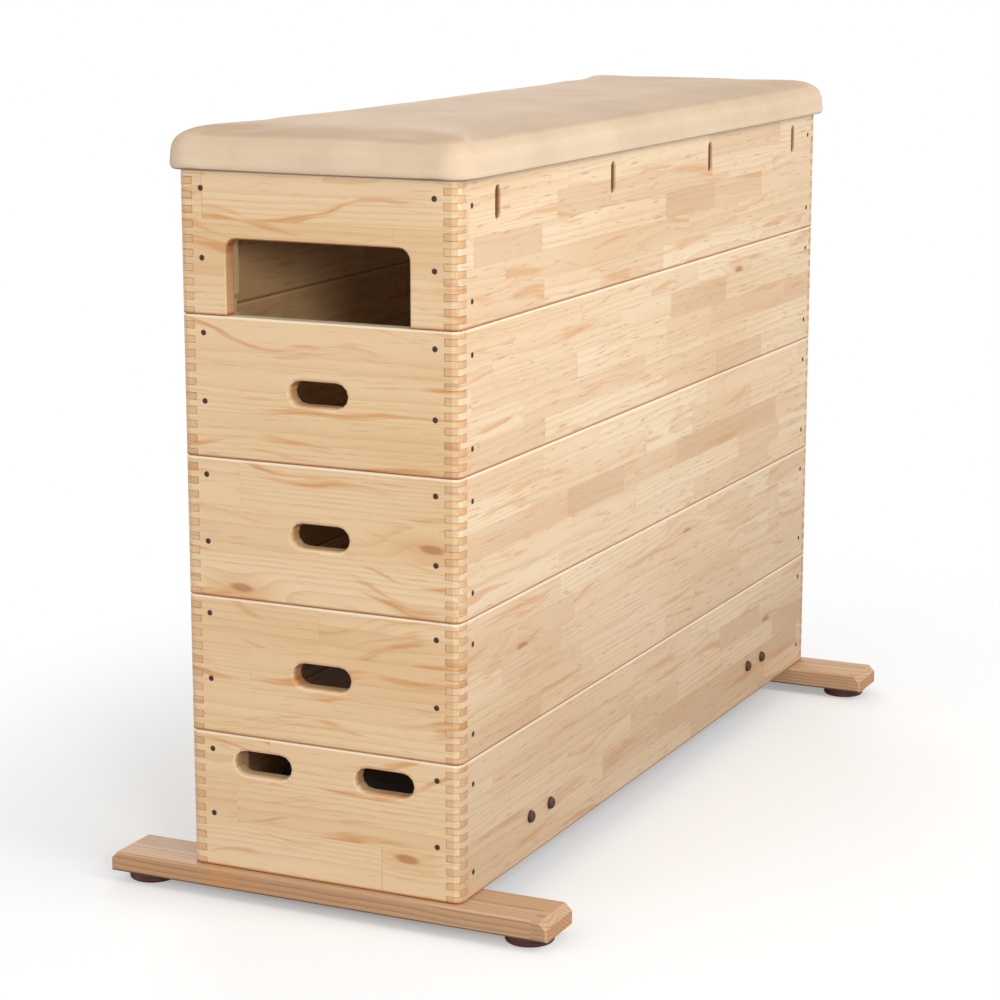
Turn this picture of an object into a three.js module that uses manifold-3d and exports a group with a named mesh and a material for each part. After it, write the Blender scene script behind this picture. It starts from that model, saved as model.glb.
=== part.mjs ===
// A stacking vaulting box with a padded top, comb-jointed wooden sections, cross runners and fold-down castors.
// Millimetres, +Z up, X across the box, Y along it, origin on the floor under the middle of the box.

import * as THREE from 'three';
import { mergeVertices } from 'three/addons/utils/BufferGeometryUtils.js';
import Module from 'manifold-3d';

const wasm = await Module();
wasm.setup();

// Driving dimensions of the wooden body
const bodyWidth = 430;
const bodyLength = 1440;
const sectionHeight = 200;
const boardThickness = 22;
const cornerRadius = 11;
const edgeChamfer = 1.5;

// Clearances that every fit follows
const seatGap = 0.3;
const runningGap = 0.3;
const cutOverrun = 4;

// Comb joints at the corners
const fingerPitchWanted = 20;
const fingerShareOfPitch = 0.5;

// Corner posts and the tenons that locate the next section
const postSize = 40;
const postInnerChamfer = 8;
const tenonHeight = 22;
const tenonHeadroom = 3;
const tenonSideGap = 1.5;
const tenonChamfer = 4;

// Countersunk screw seats
const screwHeadRadius = 4.6;
const screwSeatDepth = 2;
const endScrewFromCorner = 36;
const endScrewDrops = [25, 121];
const sideScrewFromCorner = 40;
const sideScrewDrops = [36, 164];

// Window in the top section's end boards
const windowWidth = 284;
const windowHeight = 107;
const windowCornerRadius = 17;
const windowRim = 2;

// Oval grip holes in the other end boards
const gripLength = 90;
const gripHeight = 34;
const gripRimRadius = 5;
const pairedGripOffset = 97;
const pairedGripDrop = 40;

// Upright slots in the top section's side boards
const slotCount = 4;
const slotPitch = 400;
const slotHeight = 46;
const slotWidth = 13;
const slotDrop = 16;
const slotRim = 2;

// Padded top
const padHeight = 60;
const padOverhang = 24;
const padCornerRadius = 42;
const padSkirtThickness = 13;
const padCrown = 5;
const padBoardThickness = 18;

// Cross runners and feet
const runnerLength = 700;
const runnerWidth = 90;
const runnerHeight = 30;
const runnerReach = 12;
const runnerEndChamfer = 9;
const runnerEdgeChamfer = 3;
const footHeight = 16;
const footRadius = 35;
const footInset = 45;
const footEdgeRadius = 4;

// Cross rails, each bolted through both side boards
const railFromEnd = 265;
const railWidth = 90;
const railHeight = 44;
const railWall = 3;
const boltSpacing = 70;
const boltRise = 60;
const boltRadius = 4;
const boltHeadRadius = 7.5;
const boltHeadHeight = 4;
const boltNutRadius = 7;
const boltNutHeight = 6;

// Castor carrier plates, hinged to the rails
const axleRadius = 5;
const axleRise = 64;
const axleStandOff = 12;
const lugThickness = 5;
const lugWall = 5;
const lugSpacing = 300;
const axleEndLength = 4;
const carrierWidth = 270;
const carrierLength = 104;
const carrierThickness = 4;
const carrierStowAngle = THREE.MathUtils.degToRad(22);

// Castors
const castorSpacing = 190;
const castorReach = 66;
const castorTrail = 20;
const wheelRadius = 30;
const wheelWidth = 22;
const wheelEdgeRadius = 5;
const wheelTopClearance = 5;
const stemRadius = 5;
const stemCapRadius = 9;
const stemCapHeight = 4;
const forkPlateRadius = 18;
const forkWall = 3;
const forkLegWidth = 18;
const forkSideGap = 0.8;
const wheelPinRadius = 4;

// Facets of round forms: an arc of a shape gets twice its number here
const cornerSegments = 1;
const gripSegments = 3;
const slotSegments = 2;
const padCornerSegments = 3;
const padBoardSegments = 2;
const screwSegments = 6;
const boltSegments = 8;
const footSegments = 14;
const wheelSegments = 14;

// Sizes worked out from the driving dimensions
const bodyBase = footHeight + runnerHeight;
const boardHeight = sectionHeight - seatGap;
const fingerCount = Math.max(1, Math.round(sectionHeight / fingerPitchWanted));
const fingerPitch = sectionHeight / fingerCount;
const fingerHeight = fingerPitch * fingerShareOfPitch;
const innerHalfWidth = bodyWidth / 2 - boardThickness;
const innerHalfLength = bodyLength / 2 - boardThickness;

const pale = 0xd9b98c;
const finishes = {
  sideWood: new THREE.MeshStandardMaterial({ color: pale, roughness: 0.5, metalness: 0 }),
  endWood: new THREE.MeshStandardMaterial({ color: 0xd2a878, roughness: 0.5, metalness: 0 }),
  postWood: new THREE.MeshStandardMaterial({ color: 0xc9a070, roughness: 0.6, metalness: 0 }),
  plywood: new THREE.MeshStandardMaterial({ color: 0xbf9a6a, roughness: 0.7, metalness: 0 }),
  runnerWood: new THREE.MeshStandardMaterial({ color: 0xa56a43, roughness: 0.5, metalness: 0 }),
  leather: new THREE.MeshStandardMaterial({ color: 0xcbb08a, roughness: 0.75, metalness: 0 }),
  rubber: new THREE.MeshStandardMaterial({ color: 0x2a2320, roughness: 0.85, metalness: 0 }),
  tread: new THREE.MeshStandardMaterial({ color: 0x3a3a3c, roughness: 0.8, metalness: 0 }),
  steel: new THREE.MeshStandardMaterial({ color: 0x9a9da1, roughness: 0.4, metalness: 1 }),
  coatedSteel: new THREE.MeshStandardMaterial({ color: 0x55585c, roughness: 0.5, metalness: 0.6 }),
};

// Turns a closed geometry into a solid that can be cut and joined.
function solidOf(geometry) {
  const bare = geometry.index ? geometry.toNonIndexed() : geometry.clone();
  bare.deleteAttribute('normal');
  bare.deleteAttribute('uv');
  const merged = mergeVertices(bare);
  const vertProperties = new Float32Array(merged.attributes.position.array);
  const triVerts = new Uint32Array(merged.index.array);
  return new wasm.Manifold(new wasm.Mesh({ numProp: 3, vertProperties, triVerts }));
}

function geometryOf(solid) {
  const { vertProperties, triVerts } = solid.getMesh();
  const geometry = new THREE.BufferGeometry();
  geometry.setAttribute('position', new THREE.BufferAttribute(new Float32Array(vertProperties), 3));
  geometry.setIndex(new THREE.BufferAttribute(new Uint32Array(triVerts), 1));
  geometry.computeVertexNormals();
  return geometry;
}

function namedMesh(name, geometry, material) {
  const mesh = new THREE.Mesh(geometry, material);
  mesh.name = name;
  return mesh;
}

// A block between two corners.
function block(low, high) {
  const size = new THREE.Vector3().subVectors(high, low);
  const middle = new THREE.Vector3().addVectors(low, high).multiplyScalar(0.5);
  return new THREE.BoxGeometry(size.x, size.y, size.z).translate(middle.x, middle.y, middle.z);
}

// A round bar along X, Y or Z, from one place on that axis to another.
function bar(axis, radius, from, to, segments) {
  const rod = new THREE.CylinderGeometry(radius, radius, to - from, segments);
  rod.translate(0, (from + to) / 2, 0);
  if (axis === 'x') rod.rotateZ(-Math.PI / 2);
  if (axis === 'z') rod.rotateX(Math.PI / 2);
  return rod;
}

// The radius of a faceted bore whose flats clear a round bar of the given radius.
function boreRadius(radius, segments) {
  return (radius + runningGap) / Math.cos(Math.PI / segments);
}

function roundedRectangle(width, length, radius) {
  const x = width / 2;
  const y = length / 2;
  const shape = new THREE.Shape();
  shape.moveTo(x - radius, -y);
  shape.absarc(x - radius, -y + radius, radius, -Math.PI / 2, 0, false);
  shape.absarc(x - radius, y - radius, radius, 0, Math.PI / 2, false);
  shape.absarc(-x + radius, y - radius, radius, Math.PI / 2, Math.PI, false);
  shape.absarc(-x + radius, -y + radius, radius, Math.PI, 1.5 * Math.PI, false);
  return shape;
}

// An oval with straight sides, longer across than up.
function oval(length, height) {
  const radius = height / 2;
  const reach = length / 2 - radius;
  const shape = new THREE.Shape();
  shape.absarc(reach, 0, radius, -Math.PI / 2, Math.PI / 2, false);
  shape.absarc(-reach, 0, radius, Math.PI / 2, 1.5 * Math.PI, false);
  return shape;
}

// The window's outline, standing on the section's lower edge and running out below it.
function windowOutline() {
  const x = windowWidth / 2;
  const arcHeight = windowHeight - windowCornerRadius;
  const shape = new THREE.Shape();
  shape.moveTo(-x, -cutOverrun);
  shape.lineTo(x, -cutOverrun);
  shape.absarc(x - windowCornerRadius, arcHeight, windowCornerRadius, 0, Math.PI / 2, false);
  shape.absarc(-x + windowCornerRadius, arcHeight, windowCornerRadius, Math.PI / 2, Math.PI, false);
  return shape;
}

// The steps of a rim: a rounded one has two, and a bevelled one has one.
function roundedRim(radius) {
  const middleShare = 1 - Math.SQRT1_2;
  const middle = radius * middleShare;
  return [
    { offset: 0, spread: middle, from: radius, to: middle },
    { offset: middle, spread: radius - middle, from: middle, to: 0 },
  ];
}

function bevelledRim(size) {
  return [{ offset: 0, spread: size, from: size, to: 0 }];
}

// A cutter through a board whose outer face is at z = 0, with a rim that widens to that face.
function rimmedCutter(shape, rim, segments) {
  const through = new THREE.ExtrudeGeometry(shape, {
    depth: boardThickness + 2 * cutOverrun,
    bevelEnabled: false,
    curveSegments: segments,
  }).translate(0, 0, -boardThickness - cutOverrun);
  return rim.reduce((cutter, step) => {
    const flare = new THREE.ExtrudeGeometry(shape, {
      depth: step.to + cutOverrun,
      bevelThickness: step.from - step.to,
      bevelSize: step.spread,
      bevelOffset: step.offset,
      bevelSegments: 1,
      curveSegments: segments,
    }).translate(0, 0, -step.to);
    return cutter.add(solidOf(flare));
  }, solidOf(through));
}

// Stands a cutter up against the outer face of a board that faces -Y.
function onFace(cutter, along, height, reach) {
  return cutter.rotate([90, 0, 0]).translate([along, -reach, height]);
}

function screwSeat(along, height, reach) {
  const outerRadius = screwHeadRadius + cutOverrun;
  const innerRadius = screwHeadRadius - screwSeatDepth;
  const depth = screwSeatDepth + cutOverrun;
  const cone = new THREE.CylinderGeometry(innerRadius, outerRadius, depth, screwSegments);
  cone.translate(0, (cutOverrun - screwSeatDepth) / -2, 0);
  return solidOf(cone).translate([along, -reach, height]);
}

// The notches at both ends of a board, where the fingers of its neighbours lie.
function combNotches(span, reach, ownsLowerHalf) {
  const root = span / 2 - boardThickness - seatGap;
  const outerY = -reach - cutOverrun;
  const innerY = -reach + boardThickness + cutOverrun;
  const notches = [];
  for (let index = 0; index < fingerCount; index += 1) {
    const ledge = index * fingerPitch;
    const low = ownsLowerHalf ? ledge + fingerHeight - seatGap / 2 : ledge - seatGap / 2;
    const high = ownsLowerHalf ? ledge + fingerPitch + seatGap / 2 : ledge + fingerHeight + seatGap / 2;
    for (const side of [-1, 1]) {
      const near = side * root;
      const far = side * (span / 2 + cutOverrun);
      const cutter = block(
        new THREE.Vector3(Math.min(near, far), outerY, index === 0 && !ownsLowerHalf ? -cutOverrun : low),
        new THREE.Vector3(Math.max(near, far), innerY, high),
      );
      notches.push(solidOf(cutter));
    }
  }
  return notches;
}

// A board that faces -Y, with its comb fingers, screw seats and any openings.
function boardGeometry({ span, reach, ownsLowerHalf, screws, openings }) {
  const raw = block(
    new THREE.Vector3(-span / 2, -reach, 0),
    new THREE.Vector3(span / 2, -reach + boardThickness, boardHeight),
  );
  const outline = roundedRectangle(
    span - 2 * edgeChamfer,
    2 * (reach - edgeChamfer),
    cornerRadius - edgeChamfer,
  );
  const envelope = new THREE.ExtrudeGeometry(outline, {
    depth: boardHeight - 2 * edgeChamfer,
    bevelThickness: edgeChamfer,
    bevelSize: edgeChamfer,
    bevelSegments: 1,
    curveSegments: cornerSegments,
  }).translate(0, 0, edgeChamfer);
  let board = solidOf(raw).intersect(solidOf(envelope));
  for (const notch of combNotches(span, reach, ownsLowerHalf)) board = board.subtract(notch);
  for (const drop of screws.drops) {
    for (const side of [-1, 1]) {
      const along = side * (span / 2 - screws.fromCorner);
      board = board.subtract(screwSeat(along, sectionHeight - drop, reach));
    }
  }
  for (const opening of openings) board = board.subtract(opening);
  return geometryOf(board);
}

const endScrews = { fromCorner: endScrewFromCorner, drops: endScrewDrops };
const sideScrews = { fromCorner: sideScrewFromCorner, drops: sideScrewDrops };

function endBoard(openings) {
  return boardGeometry({
    span: bodyWidth,
    reach: bodyLength / 2,
    ownsLowerHalf: false,
    screws: endScrews,
    openings,
  });
}

function sideBoard(openings) {
  return boardGeometry({
    span: bodyLength,
    reach: bodyWidth / 2,
    ownsLowerHalf: true,
    screws: sideScrews,
    openings,
  });
}

function gripHole(along, height) {
  const cutter = rimmedCutter(oval(gripLength, gripHeight), roundedRim(gripRimRadius), gripSegments);
  return onFace(cutter, along, height, bodyLength / 2);
}

function slotHoles() {
  const holes = [];
  const height = sectionHeight - slotDrop - slotHeight / 2;
  for (let index = 0; index < slotCount; index += 1) {
    const along = (index - (slotCount - 1) / 2) * slotPitch;
    const cutter = rimmedCutter(oval(slotHeight, slotWidth), bevelledRim(slotRim), slotSegments);
    holes.push(onFace(cutter.rotate([0, 0, 90]), along, height, bodyWidth / 2));
  }
  return holes;
}

// The holes low in the bottom side boards that the rail bolts pass through.
function boltHoles() {
  const holes = [];
  const radius = boreRadius(boltRadius, boltSegments);
  const reach = bodyWidth / 2;
  for (const end of [-1, 1]) {
    for (const step of [-0.5, 0.5]) {
      const along = end * (bodyLength / 2 - railFromEnd) + step * boltSpacing;
      const hole = bar('y', radius, -reach - cutOverrun, -innerHalfWidth + cutOverrun, boltSegments);
      holes.push(solidOf(hole).translate([along, 0, boltRise]));
    }
  }
  return holes;
}

// A post seen from above fills a square, with the edge that faces into the box cut off.
function postOutline(inset) {
  const size = postSize - inset;
  const cut = postInnerChamfer;
  return new THREE.Shape([
    new THREE.Vector2(inset, inset),
    new THREE.Vector2(size, inset),
    new THREE.Vector2(size, size - cut),
    new THREE.Vector2(size - cut, size),
    new THREE.Vector2(inset, size),
  ]);
}

function postGeometry({ from, to, tenon }) {
  const post = new THREE.ExtrudeGeometry(postOutline(0), { depth: to - from, bevelEnabled: false });
  let solid = solidOf(post.translate(0, 0, from));
  if (tenon) {
    const tip = new THREE.ExtrudeGeometry(postOutline(tenonSideGap + tenonChamfer), {
      depth: tenonHeight,
      bevelThickness: tenonChamfer,
      bevelSize: tenonChamfer,
      bevelSegments: 1,
    }).translate(0, 0, to - tenonChamfer);
    solid = solid.add(solidOf(tip));
  }
  return geometryOf(solid);
}

const cornerNames = ['front_left', 'front_right', 'back_right', 'back_left'];

// Places one copy of the post in each inner corner, its square side against the boards.
function addPosts(group, name, geometry) {
  const x = innerHalfWidth - seatGap;
  const y = innerHalfLength - seatGap;
  const places = [[-x, -y], [x, -y], [x, y], [-x, y]];
  places.forEach(([px, py], index) => {
    const post = namedMesh(`${name}_post_${cornerNames[index]}`, geometry, finishes.postWood);
    post.position.set(px, py, 0);
    post.rotation.z = index * Math.PI / 2;
    group.add(post);
  });
}

function addBoards(group, name, endGeometry, sideGeometry) {
  const ends = [['front', 0], ['back', Math.PI]];
  const sides = [['right', Math.PI / 2], ['left', -Math.PI / 2]];
  for (const [side, turn] of ends) {
    const board = namedMesh(`${name}_end_board_${side}`, endGeometry, finishes.endWood);
    board.rotation.z = turn;
    group.add(board);
  }
  for (const [side, turn] of sides) {
    const board = namedMesh(`${name}_side_board_${side}`, sideGeometry, finishes.sideWood);
    board.rotation.z = turn;
    group.add(board);
  }
}

function section({ name, level, endGeometry, sideGeometry, postShape }) {
  const group = new THREE.Group();
  group.position.z = bodyBase + level * sectionHeight;
  addBoards(group, name, endGeometry, sideGeometry);
  addPosts(group, name, postShape);
  return group;
}

// A closed skin over rings of points, each ring drawn the same way round, with a flat or pointed end cap.
function skinOver(rings) {
  const count = rings[0].length;
  const points = rings.flat();
  const triangles = [];
  for (let ring = 0; ring + 1 < rings.length; ring += 1) {
    for (let step = 0; step < count; step += 1) {
      const next = (step + 1) % count;
      const a = ring * count + step;
      const b = ring * count + next;
      triangles.push(a, b, b + count, a, b + count, a + count);
    }
  }
  const centre = (ring) => ring.reduce((sum, point) => sum.add(point), new THREE.Vector3()).divideScalar(count);
  const bottom = points.length;
  const top = bottom + 1;
  const last = (rings.length - 1) * count;
  for (let step = 0; step < count; step += 1) {
    const next = (step + 1) % count;
    triangles.push(bottom, next, step, top, last + step, last + next);
  }
  points.push(centre(rings[0]), centre(rings[rings.length - 1]));
  const geometry = new THREE.BufferGeometry().setFromPoints(points);
  geometry.setIndex(triangles);
  geometry.computeVertexNormals();
  return geometry;
}

// One ring of the pad: its outline drawn in by an inset, at a height above the pad's seat.
function padRing(inset, height) {
  const width = bodyWidth + 2 * (padOverhang - inset);
  const length = bodyLength + 2 * (padOverhang - inset);
  const leastRadiusShare = 0.3;
  const radius = Math.max(padCornerRadius - inset, padCornerRadius * leastRadiusShare);
  const outline = roundedRectangle(width, length, radius).getPoints(padCornerSegments);
  return outline.map((point) => new THREE.Vector3(point.x, point.y, height));
}

// The cushion, from the roof of its hollow underside, round the drawn-in skirt, and up over the crown.
function padGeometry() {
  const hollow = padBoardThickness + seatGap;
  const foot = [
    { inset: padSkirtThickness, height: hollow },
    { inset: padSkirtThickness, height: 0 },
  ];
  const sideShares = [
    { inset: 0.42, height: 0 },
    { inset: 0.14, height: 0.13 },
    { inset: 0, height: 0.34 },
    { inset: 0.04, height: 0.56 },
    { inset: 0.3, height: 0.78 },
    { inset: 0.85, height: 0.93 },
    { inset: 1.7, height: 1 },
  ];
  const crownShares = [
    { inset: 0.4, height: 0.65 },
    { inset: 0.85, height: 1 },
  ];
  const side = sideShares.map((share) => ({
    inset: share.inset * padSkirtThickness,
    height: share.height * (padHeight - padCrown),
  }));
  const crown = crownShares.map((share) => ({
    inset: share.inset * (bodyWidth / 2),
    height: padHeight - padCrown + share.height * padCrown,
  }));
  return skinOver([...foot, ...side, ...crown].map(({ inset, height }) => padRing(inset, height)));
}

function padBoardGeometry() {
  const inset = padSkirtThickness + seatGap;
  const width = bodyWidth + 2 * (padOverhang - inset);
  const length = bodyLength + 2 * (padOverhang - inset);
  const outline = roundedRectangle(width, length, padCornerRadius - inset);
  return new THREE.ExtrudeGeometry(outline, {
    depth: padBoardThickness,
    bevelEnabled: false,
    curveSegments: padBoardSegments,
  });
}

// The top section, its board and its pad.
function topSection() {
  const cutter = rimmedCutter(windowOutline(), bevelledRim(windowRim), slotSegments);
  const window = onFace(cutter, 0, 0, bodyLength / 2);
  const group = section({
    name: 'top',
    level: 4,
    endGeometry: endBoard([window]),
    sideGeometry: sideBoard(slotHoles()),
    postShape: postGeometry({ from: tenonHeight + tenonHeadroom, to: boardHeight, tenon: false }),
  });
  const board = namedMesh('top_plywood_board', padBoardGeometry(), finishes.plywood);
  const pad = namedMesh('top_pad', padGeometry(), finishes.leather);
  board.position.z = sectionHeight;
  pad.position.z = sectionHeight;
  group.add(board, pad);
  return group;
}

// Sections 2, 3 and 4 are alike, counted from the top.
function middleSections() {
  const endGeometry = endBoard([gripHole(0, sectionHeight / 2)]);
  const sideGeometry = sideBoard([]);
  const postShape = postGeometry({ from: tenonHeight + tenonHeadroom, to: boardHeight, tenon: true });
  return [[2, 3], [3, 2], [4, 1]].map(([number, level]) => section({
    name: `section_${number}`,
    level,
    endGeometry,
    sideGeometry,
    postShape,
  }));
}

function bottomSection() {
  const gripRise = sectionHeight - pairedGripDrop;
  const grips = [-1, 1].map((side) => gripHole(side * pairedGripOffset, gripRise));
  return section({
    name: 'bottom',
    level: 0,
    endGeometry: endBoard(grips),
    sideGeometry: sideBoard(boltHoles()),
    postShape: postGeometry({ from: 0, to: boardHeight, tenon: true }),
  });
}

// A runner lies across the box under its end board, its own ends cut back at the top.
function runnerGeometry() {
  const reach = runnerLength / 2 - runnerEdgeChamfer;
  const rise = runnerHeight - seatGap - 2 * runnerEdgeChamfer;
  const shape = new THREE.Shape([
    new THREE.Vector2(-reach, 0),
    new THREE.Vector2(reach, 0),
    new THREE.Vector2(reach, rise - runnerEndChamfer),
    new THREE.Vector2(reach - runnerEndChamfer, rise),
    new THREE.Vector2(-reach + runnerEndChamfer, rise),
    new THREE.Vector2(-reach, rise - runnerEndChamfer),
  ]);
  const depth = runnerWidth - 2 * runnerEdgeChamfer;
  return new THREE.ExtrudeGeometry(shape, {
    depth,
    bevelThickness: runnerEdgeChamfer,
    bevelSize: runnerEdgeChamfer,
    bevelSegments: 1,
  }).rotateX(Math.PI / 2).translate(0, depth / 2, runnerEdgeChamfer);
}

function footGeometry() {
  const top = footHeight - seatGap;
  const profile = [
    new THREE.Vector2(0, 0),
    new THREE.Vector2(footRadius - footEdgeRadius, 0),
    new THREE.Vector2(footRadius, footEdgeRadius),
    new THREE.Vector2(footRadius, top),
    new THREE.Vector2(0, top),
  ];
  return new THREE.LatheGeometry(profile, footSegments).rotateX(Math.PI / 2);
}

function runners() {
  const group = new THREE.Group();
  const y = bodyLength / 2 + runnerReach - runnerWidth / 2;
  const x = runnerLength / 2 - footInset;
  const footShape = footGeometry();
  for (const [name, end] of [['front', -1], ['back', 1]]) {
    const runner = namedMesh(`runner_${name}`, runnerGeometry(), finishes.runnerWood);
    runner.position.set(0, end * y, footHeight);
    group.add(runner);
    for (const [sideName, side] of [['left', -1], ['right', 1]]) {
      const foot = namedMesh(`foot_${name}_${sideName}`, footShape, finishes.rubber);
      foot.position.set(side * x, end * y, 0);
      group.add(foot);
    }
  }
  return group;
}

// One bolt along X, its head outside the side board and its nut inside the rail's end plate.
function railBolt(side) {
  const plateInside = innerHalfWidth - seatGap - railWall;
  const headUnder = bodyWidth / 2 + seatGap;
  const parts = [
    bar('x', boltRadius, plateInside - boltNutHeight, headUnder + boltHeadHeight / 2, boltSegments),
    bar('x', boltHeadRadius, headUnder, headUnder + boltHeadHeight, boltSegments),
    bar('x', boltNutRadius, plateInside - boltNutHeight, plateInside + railWall / 2, 6),
  ];
  const bolt = parts.map(solidOf).reduce((joined, part) => joined.add(part));
  return side > 0 ? bolt : bolt.rotate([0, 0, 180]);
}

// The rail is a channel open below, closed by a plate at each end, with two lugs for the carrier's axle.
// Its middle is at y = 0, and the carrier hangs on its -Y side.
function railGeometry() {
  const halfSpan = innerHalfWidth - seatGap;
  const halfWidth = railWidth / 2;
  const low = bodyBase + boltRise - railHeight / 2;
  const high = low + railHeight;
  const corner = (x, y, z) => new THREE.Vector3(x, y, z);
  const pieces = [
    block(corner(-halfSpan, -halfWidth, high - railWall), corner(halfSpan, halfWidth, high)),
    block(corner(-halfSpan, -halfWidth, low), corner(halfSpan, -halfWidth + railWall, high)),
    block(corner(-halfSpan, halfWidth - railWall, low), corner(halfSpan, halfWidth, high)),
    block(corner(halfSpan - railWall, -halfWidth, low), corner(halfSpan, halfWidth, high)),
    block(corner(-halfSpan, -halfWidth, low), corner(-halfSpan + railWall, halfWidth, high)),
  ];
  let rail = pieces.map(solidOf).reduce((joined, part) => joined.add(part));
  for (const side of [-1, 1]) {
    for (const step of [-0.5, 0.5]) {
      rail = rail.add(railBolt(side).translate([0, step * boltSpacing, bodyBase + boltRise]));
    }
    rail = rail.add(axleLug(side, halfWidth, low + railHeight / 2));
  }
  const bore = bar('x', boreRadius(axleRadius, boltSegments), -halfSpan, halfSpan, boltSegments);
  return geometryOf(rail.subtract(solidOf(bore).translate([0, -halfWidth - axleStandOff, axleRise])));
}

// A lug drops from the rail's front wall to the axle, with a round nose there.
function axleLug(side, railHalfWidth, top) {
  const noseRadius = boreRadius(axleRadius, boltSegments) + lugWall;
  const axleY = -railHalfWidth - axleStandOff;
  const from = side * lugSpacing / 2 - lugThickness / 2;
  const nose = bar('x', noseRadius, from, from + lugThickness, boltSegments);
  const arm = block(
    new THREE.Vector3(from, axleY, axleRise - noseRadius),
    new THREE.Vector3(from + lugThickness, -railHalfWidth + railWall, top),
  );
  return solidOf(nose).translate([0, axleY, axleRise]).add(solidOf(arm));
}

// The carrier is a plate fixed to its axle. Its frame has the axle along X and the plate towards -Y.
function carrierGeometry() {
  const halfWidth = carrierWidth / 2;
  const axleReach = lugSpacing / 2 + lugThickness / 2 + axleEndLength;
  const plate = block(
    new THREE.Vector3(-halfWidth, -carrierLength, -carrierThickness / 2),
    new THREE.Vector3(halfWidth, 0, carrierThickness / 2),
  );
  let carrier = solidOf(plate).add(solidOf(bar('x', axleRadius, -axleReach, axleReach, boltSegments)));
  for (const side of [-1, 1]) {
    const radius = boreRadius(stemRadius, boltSegments);
    const bore = bar('z', radius, -carrierThickness, carrierThickness, boltSegments);
    carrier = carrier.subtract(solidOf(bore).translate([side * castorSpacing / 2, -castorReach, 0]));
  }
  return geometryOf(carrier);
}

const forkPlateTop = -carrierThickness / 2 - runningGap;
const wheelDrop = -forkPlateTop + forkWall + wheelTopClearance + wheelRadius;

// The fork turns on its stem. Its frame has the stem along Z, with the carrier's middle plane at z = 0,
// and the wheel trails towards +Y.
function forkGeometry() {
  const plateLow = forkPlateTop - forkWall;
  const capLow = carrierThickness / 2 + runningGap;
  const legInside = wheelWidth / 2 + forkSideGap;
  const legOutside = legInside + forkWall;
  const halfLeg = forkLegWidth / 2;
  const parts = [
    bar('z', forkPlateRadius, plateLow, forkPlateTop, boltSegments),
    bar('z', stemRadius, plateLow, capLow + stemCapHeight / 2, boltSegments),
    bar('z', stemCapRadius, capLow, capLow + stemCapHeight, boltSegments),
    bar('x', wheelPinRadius, -legOutside, legOutside, boltSegments).translate(0, castorTrail, -wheelDrop),
  ];
  for (const side of [-1, 1]) {
    const outline = new THREE.Shape([
      new THREE.Vector2(-halfLeg, forkPlateTop),
      new THREE.Vector2(castorTrail - halfLeg, -wheelDrop - halfLeg),
      new THREE.Vector2(castorTrail + halfLeg, -wheelDrop - halfLeg),
      new THREE.Vector2(halfLeg, forkPlateTop),
    ]);
    const leg = new THREE.ExtrudeGeometry(outline, { depth: forkWall, bevelEnabled: false });
    leg.rotateY(Math.PI / 2).rotateX(Math.PI / 2);
    leg.translate(side > 0 ? legInside : -legOutside, 0, 0);
    parts.push(leg);
  }
  return geometryOf(parts.map(solidOf).reduce((joined, part) => joined.add(part)));
}

function wheelGeometry() {
  const half = wheelWidth / 2;
  const bore = boreRadius(wheelPinRadius, wheelSegments);
  const profile = [
    new THREE.Vector2(bore, -half),
    new THREE.Vector2(wheelRadius - wheelEdgeRadius, -half),
    new THREE.Vector2(wheelRadius, -half + wheelEdgeRadius),
    new THREE.Vector2(wheelRadius, half - wheelEdgeRadius),
    new THREE.Vector2(wheelRadius - wheelEdgeRadius, half),
    new THREE.Vector2(bore, half),
    new THREE.Vector2(bore, -half),
  ];
  return new THREE.LatheGeometry(profile, wheelSegments).rotateZ(-Math.PI / 2);
}

// A rail and its carrier with two castors, stowed with the carrier tilted up clear of the floor.
function transportUnit(name) {
  const unit = new THREE.Group();
  const rail = namedMesh(`rail_${name}`, railGeometry(), finishes.coatedSteel);
  const swing = new THREE.Group();
  swing.position.set(0, -railWidth / 2 - axleStandOff, axleRise);
  swing.rotation.x = -carrierStowAngle;
  swing.add(namedMesh(`carrier_${name}`, carrierGeometry(), finishes.steel));
  for (const [sideName, side] of [['a', -1], ['b', 1]]) {
    const fork = namedMesh(`fork_${name}_${sideName}`, forkGeometry(), finishes.steel);
    const wheel = namedMesh(`wheel_${name}_${sideName}`, wheelGeometry(), finishes.tread);
    fork.position.set(side * castorSpacing / 2, -castorReach, 0);
    wheel.position.set(0, castorTrail, -wheelDrop);
    fork.add(wheel);
    swing.add(fork);
  }
  unit.add(rail, swing);
  return unit;
}

function transportUnits() {
  const group = new THREE.Group();
  for (const [name, turn] of [['front', 0], ['back', Math.PI]]) {
    const pivot = new THREE.Group();
    const unit = transportUnit(name);
    unit.position.y = -(bodyLength / 2 - railFromEnd);
    pivot.rotation.z = turn;
    pivot.add(unit);
    group.add(pivot);
  }
  return group;
}

const vaultingBox = new THREE.Group();
vaultingBox.add(topSection(), ...middleSections(), bottomSection(), runners(), transportUnits());

export default vaultingBox;
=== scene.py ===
"""Dresses a stacking vaulting box in glued pine, leather, rubber and steel, and lights it."""

import logging
import math
from dataclasses import dataclass, field
from enum import Enum
from typing import Callable, Sequence, Union

import bpy
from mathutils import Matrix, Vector, noise


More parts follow.
